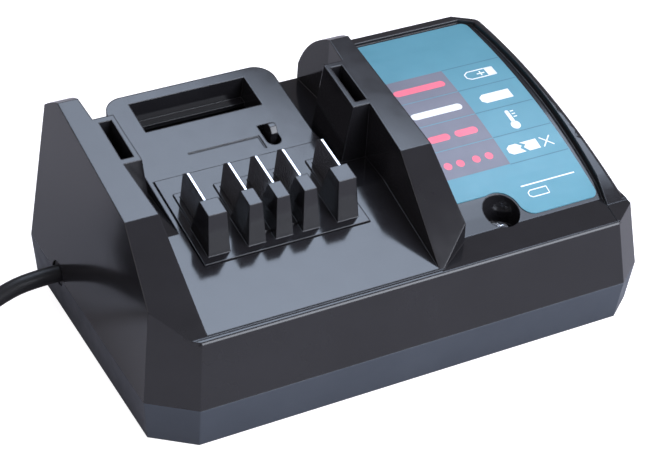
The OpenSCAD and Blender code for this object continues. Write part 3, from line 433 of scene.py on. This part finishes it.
def round_edges(shape, width, segments, sharp, keep):
    """Bevels the outer edges steeper than sharp, in degrees, that keep accepts if it is given."""
    tree = BVHTree.FromBMesh(shape)
    chosen = [edge for edge in shape.edges
              if len(edge.link_faces) == 2 and edge.calc_face_angle(0) > math.radians(sharp)
              and (keep is None or keep(edge)) and open_to_view(edge, tree)]
    bmesh.ops.bevel(shape, geom=chosen, offset=width, offset_type="OFFSET", segments=segments, profile=0.5,
                    affect="EDGES", clamp_overlap=False, loop_slide=True, miter_outer="SHARP")


def dress(piece, material, body, *stands_for):
    piece.data.materials.append(material)
    weigh = piece.modifiers.new("weighted", "WEIGHTED_NORMAL")
    weigh.keep_sharp = True
    weigh.weight = NORMAL_WEIGHT
    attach(piece, body)
    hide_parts(*stands_for)


def soften(node, name, material, body, width=0, segments=3, sharp=24, keep=None, shape_up=None):
    """A copy of a CAD node that stands for it: mended by shape_up, with edges rounded to a width if given."""
    piece, shape, borders = merged_copy(node, name, bool(width))
    if shape_up:
        shape_up(shape)
    if width:
        round_edges(shape, width, segments, sharp, keep)
    mark_creases(shape, borders)
    for face in shape.faces:
        face.smooth = True
    shape.to_mesh(piece.data)
    shape.free()
    dress(piece, material, body, node)
    return piece


# ---------- cord ----------

CORD_D = 5.8 * MM
CORD_RESOLUTION = 5
COIL_AT = Vector((-0.166, 0.038, 0))
COIL_R = 33 * MM
COIL_MIDDLE = 0.0095
ROUTE = [
    (-0.0892, 0.0234, 0.0154), (-0.096, 0.0234, 0.0153), (-0.104, 0.0235, 0.0143), (-0.112, 0.0233, 0.0115),
    (-0.119, 0.0224, 0.008), (-0.126, 0.020, 0.0052), (-0.132, 0.0164, 0.004), (-0.137, 0.0124, 0.0037),
    (-0.142, 0.008, 0.0037),
]
TAIL = [
    (-0.1447, 0.0076, 0.0194), (-0.1551, 0.0044, 0.0206), (-0.1645, 0.0045, 0.0213), (-0.1732, 0.006, 0.0219),
    (-0.1809, 0.0105, 0.0228), (-0.1866, 0.0173, 0.024), (-0.1895, 0.025, 0.0252), (-0.190, 0.030, 0.0254),
]
SPAN_STEPS = 3
# Where each turn lies in the coil: steps from the middle, outwards and upwards
SLOTS = [(1, -1), (0, -1), (-1, -1), (-1, 0), (-1, 1), (0, 1), (0, 0), (1, 0), (1, 1)]
COIL_START = -51.3
COIL_TURNS = 7.9131
TURN_STEPS = 44
# How far round the coil a turn takes to move over to its next place
CORNER = math.radians(57)


def crossings():
    """The angles at which the cord moves over in the coil: one turn apart, sooner where the lay changes."""
    full = 2 * math.pi
    starts = [full - CORNER]
    for i in range(1, len(SLOTS) - 1):
        before = (SLOTS[i][0] - SLOTS[i - 1][0], SLOTS[i][1] - SLOTS[i - 1][1])
        after = (SLOTS[i + 1][0] - SLOTS[i][0], SLOTS[i + 1][1] - SLOTS[i][1])
        starts.append(starts[-1] + full - (0 if before == after else CORNER))
    return starts


def coil_points():
    """The coil's middle line, wound clockwise."""
    starts = crossings()
    total = COIL_TURNS * (2 * math.pi)
    steps = int(COIL_TURNS * TURN_STEPS)
    found = []
    for k in range(steps + 1):
        angle = total * k / steps
        out, rise = SLOTS[0]
        for start, low, high in zip(starts, SLOTS, SLOTS[1:]):
            share = min(1.0, max(0.0, (angle - start) / CORNER))
            share = share * share * (3 - 2 * share)
            out += (high[0] - low[0]) * share
            rise += (high[1] - low[1]) * share
        heading = math.radians(COIL_START) - angle
        radius = COIL_R + out * CORD_D
        height = COIL_MIDDLE + rise * CORD_D
        found.append(COIL_AT + Vector((radius * math.cos(heading), radius * math.sin(heading), height)))
    return found


def smooth_line(points, per_span):
    """A Catmull-Rom curve through the points."""
    p = [Vector(q) for q in points]
    p = [2 * p[0] - p[1]] + p + [2 * p[-1] - p[-2]]
    line = []
    for i in range(1, len(p) - 2):
        for k in range(per_span):
            t = k / per_span
            line.append(0.5 * (2 * p[i] + (p[i + 1] - p[i - 1]) * t
                               + (2 * p[i - 1] - 5 * p[i] + 4 * p[i + 1] - p[i + 2]) * t * t
                               + (3 * p[i] - p[i - 1] - 3 * p[i + 1] + p[i + 2]) * t ** 3))
    return line + [p[-2]]


def make_cord():
    coil = coil_points()
    line = smooth_line(ROUTE[:-1] + [tuple(coil[0])], SPAN_STEPS) + coil[1:-1]
    line += smooth_line([tuple(coil[-1])] + TAIL, SPAN_STEPS)
    curve = bpy.data.curves.new("mains_cord", "CURVE")
    curve.dimensions = "3D"
    curve.bevel_depth = CORD_D / 2
    curve.bevel_resolution = CORD_RESOLUTION
    curve.use_fill_caps = True
    spline = curve.splines.new("POLY")
    spline.points.add(len(line) - 1)
    for point, place in zip(spline.points, line):
        point.co = (*place, 1)
    curve.materials.append(RUBBER)
    spline.use_smooth = True
    piece = add_object("mains_cord", curve)
    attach(piece, "housing")
    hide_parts("power_cord", "cord_coil")
    length = sum((b - a).length for a, b in zip(line, line[1:]))
    print("cord length", round(length, 4))


# ---------- shapes of the print, in millimetres ----------

PILL_STEPS = 10


def bar(x0, y0, x1, y1):
    return [(x0, y0), (x1, y0), (x1, y1), (x0, y1)]


def disc(x, y, r, steps=28):
    angles = [2 * math.pi * k / steps for k in range(steps)]
    return [(x + r * math.cos(a), y + r * math.sin(a)) for a in angles]


def pill(x0, x1, y, r):
    """A bar from x0 to x1 with round ends."""
    angles = [math.pi * k / PILL_STEPS for k in range(PILL_STEPS + 1)]
    right = [(x1 - r + r * math.sin(a), y - r * math.cos(a)) for a in angles]
    left = [(x0 + r - r * math.sin(a), y + r * math.cos(a)) for a in angles]
    return right + left


def stroke(x0, y0, x1, y1, w):
    """A straight stroke of width w."""
    length = math.hypot(x1 - x0, y1 - y0)
    nx, ny = -(y1 - y0) / length * w / 2, (x1 - x0) / length * w / 2
    return [(x0 + nx, y0 + ny), (x0 - nx, y0 - ny), (x1 - nx, y1 - ny), (x1 + nx, y1 + ny)]


def strokes_along(outline, w):
    """Strokes along a closed outline."""
    return [stroke(*a, *b, w) for a, b in zip(outline, outline[1:] + outline[:1])]


def battery(x, y, length, height, nose=1.5):
    """Outline of a battery that lies on its side, with its terminal on the left."""
    h = height / 2
    return [(x, y - h * 0.45), (x + nose, y - h), (x + length, y - h),
            (x + length, y + h), (x + nose, y + h), (x, y + h * 0.45)]


# ---------- symbols on the label, without any lettering ----------

ICON_LINE = 0.42


def charging_battery(y):
    plus = [stroke(66.6, y, 69.6, y, 0.5), stroke(68.1, y - 1.15, 68.1, y + 1.15, 0.5)]
    charge = bar(70.4, y - 2.0, 73.5, y + 2.0)
    return strokes_along(battery(62.1, y, 11.4, 4.0), ICON_LINE) + [charge] + plus


def full_battery(y):
    return [battery(60.8, y, 12.1, 4.2)]


def thermometer(y):
    """A bulb, a tube with a round end, and three marks beside it."""
    glass = [disc(66.4, y, 1.75), bar(65.65, y + 1.2, 67.15, y + 6.2), disc(66.4, y + 6.2, 0.75, 16)]
    return glass + [bar(67.7, y + k, 69.0, y + k + 0.4) for k in (3.4, 4.7, 6.0)]


def faulty_battery(y):
    """A battery in two halves, and a cross."""
    left = [(57.6, y - 0.9), (59.0, y - 2.0), (63.8, y - 2.0), (62.4, y - 0.2),
            (63.4, y + 0.6), (61.6, y + 2.0), (59.0, y + 2.0), (57.6, y + 0.9)]
    right = [(65.2, y - 2.0), (69.6, y - 2.0), (69.6, y + 2.0),
             (63.2, y + 2.0), (65.0, y + 0.8), (63.9, y - 0.2)]
    cross = [stroke(71.0, y - 2.0, 75.0, y + 2.0, ICON_LINE), stroke(71.0, y + 2.0, 75.0, y - 2.0, ICON_LINE)]
    return [left, right] + cross


def foot_marks():
    """A line and a small battery at the label's lower end."""
    return [bar(54.3, -28.0, 75.4, -27.55)] + strokes_along(battery(55.5, -31.2, 7.4, 2.6, 1.0), 0.35)


# ---------- printed sheet ----------

# The panel is an arc from its front end to its back end: y and z of both, its radius and its facets
PANEL_FRONT = (-39.3, 38.1)
PANEL_BACK = (57.5, 54.9)
PANEL_R = 238.0
PANEL_STEPS = 18
# Height of the sheet's top above the panel
SHEET_TOP = 0.325

# The status column, the lines between its rows, and the rows of symbols to its right
COLUMN_LEFT = 27.3
COLUMN_RIGHT = 55.6
ROWS_RIGHT = 78.6
ROWS = [28.7, 16.85, 5.0, -6.85, -18.7]
RULE = 0.32
MARK_LEFT = 33.2
MARK_R = 1.48
GROUND_LIFT = 0.03
MARK_LIFT = 0.05


def panel_line():
    """The facets of the panel's curve, as the CAD draws them."""
    (ay, az), (by, bz) = PANEL_FRONT, PANEL_BACK
    half = math.hypot(by - ay, bz - az) / 2
    along = ((by - ay) / 2 / half, (bz - az) / 2 / half)
    drop = math.sqrt(PANEL_R ** 2 - half ** 2)
    points = []
    for i in range(PANEL_STEPS + 1):
        s = half * (2 * i / PANEL_STEPS - 1)
        rise = math.sqrt(PANEL_R ** 2 - s * s) - drop
        points.append(((ay + by) / 2 + along[0] * s - along[1] * rise,
                       (az + bz) / 2 + along[1] * s + along[0] * rise))
    return points


PANEL = panel_line()


def panel_z(y):
    """Height of the panel's facets at y."""
    for (ya, za), (yb, zb) in zip(PANEL, PANEL[1:]):
        if y <= yb:
            break
    return za + (zb - za) * (y - ya) / (yb - ya)


def prints(name, outlines, material, lift):
    """Printed areas as thin plates that follow the curved panel. Sizes in millimetres."""
    shape = bmesh.new()
    for outline in outlines:
        shape.faces.new([shape.verts.new((x * MM, y * MM, 0)) for x, y in outline])
    for y, _ in PANEL[1:-1]:
        whole = shape.verts[:] + shape.edges[:] + shape.faces[:]
        bmesh.ops.bisect_plane(shape, geom=whole, plane_co=(0, y * MM, 0), plane_no=(0, 1, 0))
    for vertex in shape.verts:
        vertex.co.z = (panel_z(vertex.co.y / MM) + SHEET_TOP) * MM
    bmesh.ops.recalc_face_normals(shape, faces=shape.faces)
    top = bmesh.ops.extrude_face_region(shape, geom=shape.faces[:])
    for item in top["geom"]:
        if isinstance(item, bmesh.types.BMVert):
            item.co.z += lift * MM
    bmesh.ops.recalc_face_normals(shape, faces=shape.faces)
    mesh = bpy.data.meshes.new(name)
    shape.to_mesh(mesh)
    shape.free()
    mesh.materials.append(material)
    piece = add_object(name, mesh)
    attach(piece, "housing")


def make_prints():
    """The status column with its marks, the lines of the rows, and the symbols."""
    grounds = [bar(COLUMN_LEFT, a - RULE / 2 * (i > 0), COLUMN_RIGHT, b + RULE / 2)
               for i, (a, b) in enumerate(zip(ROWS, ROWS[1:]))]
    rules = [bar(COLUMN_RIGHT, y - RULE / 2, ROWS_RIGHT, y + RULE / 2) for y in ROWS]
    mid = [(a + b) / 2 for a, b in zip(ROWS, ROWS[1:])]
    red = [pill(MARK_LEFT, 53.4, mid[0] - 0.3, MARK_R), pill(MARK_LEFT, 41.7, mid[2] - 0.6, MARK_R),
           pill(43.7, 52.5, mid[2] - 0.6, MARK_R)]
    red += [disc(x, mid[3] - 0.6, MARK_R) for x in (34.3, 39.1, 45.3, 50.2)]
    white = [pill(MARK_LEFT, 53.0, mid[1] - 0.9, MARK_R)]
    icons = charging_battery(mid[0] + 0.1) + full_battery(mid[1] - 0.5) + thermometer(mid[2] - 3.0)
    icons += faulty_battery(mid[3] - 0.7) + foot_marks()
    prints("print_column", grounds, GREY, GROUND_LIFT)
    prints("print_rows", rules, LINE, GROUND_LIFT)
    prints("print_red_marks", red, PINK, MARK_LIFT)
    prints("print_white_bar", white, WHITE, MARK_LIFT)
    prints("print_icons", icons, WHITE, MARK_LIFT)


# ---------- light and floor ----------

FLOOR_HALF = 4
FLOOR_Z = -0.0002
FLOOR_COLOUR = (0.55, 0.52, 0.535, 1)
# How strongly the floor glows for each kind of ray: white to the camera, and nearly dark in reflections
FLOOR_GLOW = (("Is Camera Ray", 0.90), ("Is Glossy Ray", 0.02), ("Is Transmission Ray", 0.3))
ROOM_COLOUR = (0.98, 0.92, 1.0, 1)
ROOM_STRENGTH = 0.24


def glow_strength(tree):
    """The sum of the floor's glow over the kinds of ray."""
    rays = tree.nodes.new("ShaderNodeLightPath")
    seen = None
    for name, share in FLOOR_GLOW:
        part = tree.nodes.new("ShaderNodeMath")
        part.operation = "MULTIPLY_ADD"
        part.inputs[1].default_value = share
        part.inputs[2].default_value = 0
        tree.links.new(rays.outputs[name], part.inputs[0])
        if seen is not None:
            tree.links.new(seen, part.inputs[2])
        seen = part.outputs["Value"]
    return seen


def make_floor():
    h, z = FLOOR_HALF, FLOOR_Z
    mesh = bpy.data.meshes.new("floor")
    mesh.from_pydata([(-h, -h, z), (h, -h, z), (h, h, z), (-h, h, z)], [], [(0, 1, 2, 3)])
    floor = add_object("floor", mesh)
    material = bpy.data.materials.new("pale_floor")
    tree = blank_tree(material)
    output = tree.nodes.new("ShaderNodeOutputMaterial")
    matt = tree.nodes.new("ShaderNodeBsdfDiffuse")
    matt.inputs["Color"].default_value = FLOOR_COLOUR
    glow = tree.nodes.new("ShaderNodeEmission")
    tree.links.new(glow_strength(tree), glow.inputs["Strength"])
    both = tree.nodes.new("ShaderNodeAddShader")
    tree.links.new(matt.outputs["BSDF"], both.inputs[0])
    tree.links.new(glow.outputs["Emission"], both.inputs[1])
    tree.links.new(both.outputs["Shader"], output.inputs["Surface"])
    mesh.materials.append(material)


def make_world():
    """A dim tinted room that the camera sees as plain white."""
    world = bpy.data.worlds.new("studio")
    scene.world = world
    tree = blank_tree(world)
    output = tree.nodes.new("ShaderNodeOutputWorld")
    room = tree.nodes.new("ShaderNodeBackground")
    room.inputs["Color"].default_value = ROOM_COLOUR
    room.inputs["Strength"].default_value = ROOM_STRENGTH
    white = tree.nodes.new("ShaderNodeBackground")
    white.inputs["Color"].default_value = (1, 1, 1, 1)
    white.inputs["Strength"].default_value = 1.0
    rays = tree.nodes.new("ShaderNodeLightPath")
    choose = tree.nodes.new("ShaderNodeMixShader")
    tree.links.new(rays.outputs["Is Camera Ray"], choose.inputs["Fac"])
    tree.links.new(room.outputs["Background"], choose.inputs[1])
    tree.links.new(white.outputs["Background"], choose.inputs[2])
    tree.links.new(choose.outputs["Shader"], output.inputs["Surface"])


def lamp(name, place, aim, size, power, colour, spread=180):
    """A rectangular lamp. Power in watts, spread in degrees."""
    data = bpy.data.lights.new(name, "AREA")
    data.shape = "RECTANGLE"
    data.spread = math.radians(spread)
    data.size, data.size_y = size
    data.energy = power
    data.color = colour
    thing = add_object(name, data)
    thing.location = place
    thing.rotation_euler = (Vector(aim) - Vector(place)).to_track_quat("-Z", "Y").to_euler()


def make_lamps():
    lamp("softbox_top", (0.26, 0.35, 1.04), (-0.13, -0.05, 0.04), (1.04, 0.68), 1.75, (0.68, 0.80, 1.0), 60)
    lamp("softbox_front", (0.49, -0.86, 0.55), (0, 0, 0.04), (1.0, 0.95), 5.8, (0.84, 0.89, 1.0), 90)
    lamp("softbox_left", (-1.1, -0.2, 0.8), (0, 0, 0.04), (0.7, 0.7), 2.6, (1.0, 0.97, 1.0))


# ---------- pieces ----------

# Inner pieces that share a material
INNER = {
    "lever_pin": SCREW, "sense_bracket": BLOCK, "sense_switch": BLOCK, "case_screws": SCREW,
    "board_screws": SCREW, "fuse_clips": BLADE, "bridge_rectifier": BLOCK, "power_transistor": BLOCK,
    "output_diode": BLOCK, "control_chip": BLOCK, "cord_bushing": RUBBER, "switch_leads": RUBBER,
}

# Inner pieces with a plastic or lacquer of their own: its name, dark and light colour, and roughness
INNER_COLOURS = {
    "switch_button": ("button_red", (0.35, 0.02, 0.02), (0.45, 0.03, 0.03), (0.3, 0.4)),
    "fuse": ("fuse_ceramic", (0.62, 0.62, 0.56), (0.72, 0.72, 0.66), (0.25, 0.35)),
    "film_capacitor": ("film_yellow", (0.55, 0.33, 0.04), (0.62, 0.38, 0.05), (0.3, 0.4)),
    "bulk_capacitor": ("sleeve_blue", (0.015, 0.025, 0.09), (0.02, 0.03, 0.11), (0.22, 0.32)),
    "output_capacitors": ("sleeve_green", (0.008, 0.04, 0.03), (0.012, 0.055, 0.04), (0.22, 0.32)),
    "transformer_winding": ("tape_yellow", (0.6, 0.42, 0.05), (0.7, 0.5, 0.07), (0.35, 0.5)),
    "optocoupler": ("opto_white", (0.6, 0.6, 0.58), (0.7, 0.7, 0.67), (0.35, 0.45)),
    "status_led": ("led_red", (0.5, 0.04, 0.05), (0.6, 0.05, 0.06), (0.1, 0.2)),
    "mains_leads": ("lead_brown", (0.10, 0.045, 0.02), (0.13, 0.06, 0.03), (0.35, 0.45)),
    "terminal_leads": ("lead_red", (0.35, 0.02, 0.015), (0.42, 0.03, 0.02), (0.35, 0.45)),
}


def paint(material, *painted):
    for node in painted:
        mesh = nodes[node].data
        mesh.materials.clear()
        mesh.materials.append(material)


def paint_inside():
    for node, material in INNER.items():
        paint(material, node)
    for node, look in INNER_COLOURS.items():
        paint(moulded(*look), node)
    paint(circuit("board_green"), "circuit_board")
    paint(clear_plastic("guide_clear"), "light_guide")
    ferrite = moulded("ferrite", (0.03, 0.03, 0.028), (0.05, 0.05, 0.045), (0.5, 0.6), strength=0.5)
    paint(ferrite, "line_choke", "transformer_core")
    sink = rolled_metal("sink_aluminium", (0.6, 0.61, 0.62), (0.75, 0.76, 0.77), (0.3, 0.45))
    paint(sink, "primary_heat_sink", "output_heat_sink")


def make_cord_end():
    tie = soften("cord_tie", "coil_tie", RUBBER, "housing", width=0.25 * MM, segments=2)
    plug = soften("plug_body", "mains_plug", RUBBER, "housing", width=1.1 * MM, sharp=20)
    pins = soften("plug_pins", "mains_pins", SCREW, "housing", width=0.7 * MM)
    make_cord()


def make_housing():
    soften("upper_case", "case_top", CASE, "housing", shape_up=mend_case)
    soften("base_cover", "case_base", BASE, "housing",
           width=0.35 * MM, segments=2, sharp=60, keep=under_edge)
    soften("terminal_block", "contact_block", BLOCK, "housing")
    for i in range(1, 6):
        soften("terminal_%d" % i, "contact_blade_%d" % i, BLADE, "housing",
               width=0.18 * MM, segments=2)
    soften("sense_lever", "key_lever", BLOCK, "lever", width=0.25 * MM, segments=2)
    soften("top_screw", "panel_screw", SCREW, "housing", width=0.3 * MM, segments=2)
    paint(TEAL, "label_sheet")
    make_prints()


make_camera()
make_floor()
make_world()
make_lamps()
make_cord_end()
make_housing()
paint_inside()
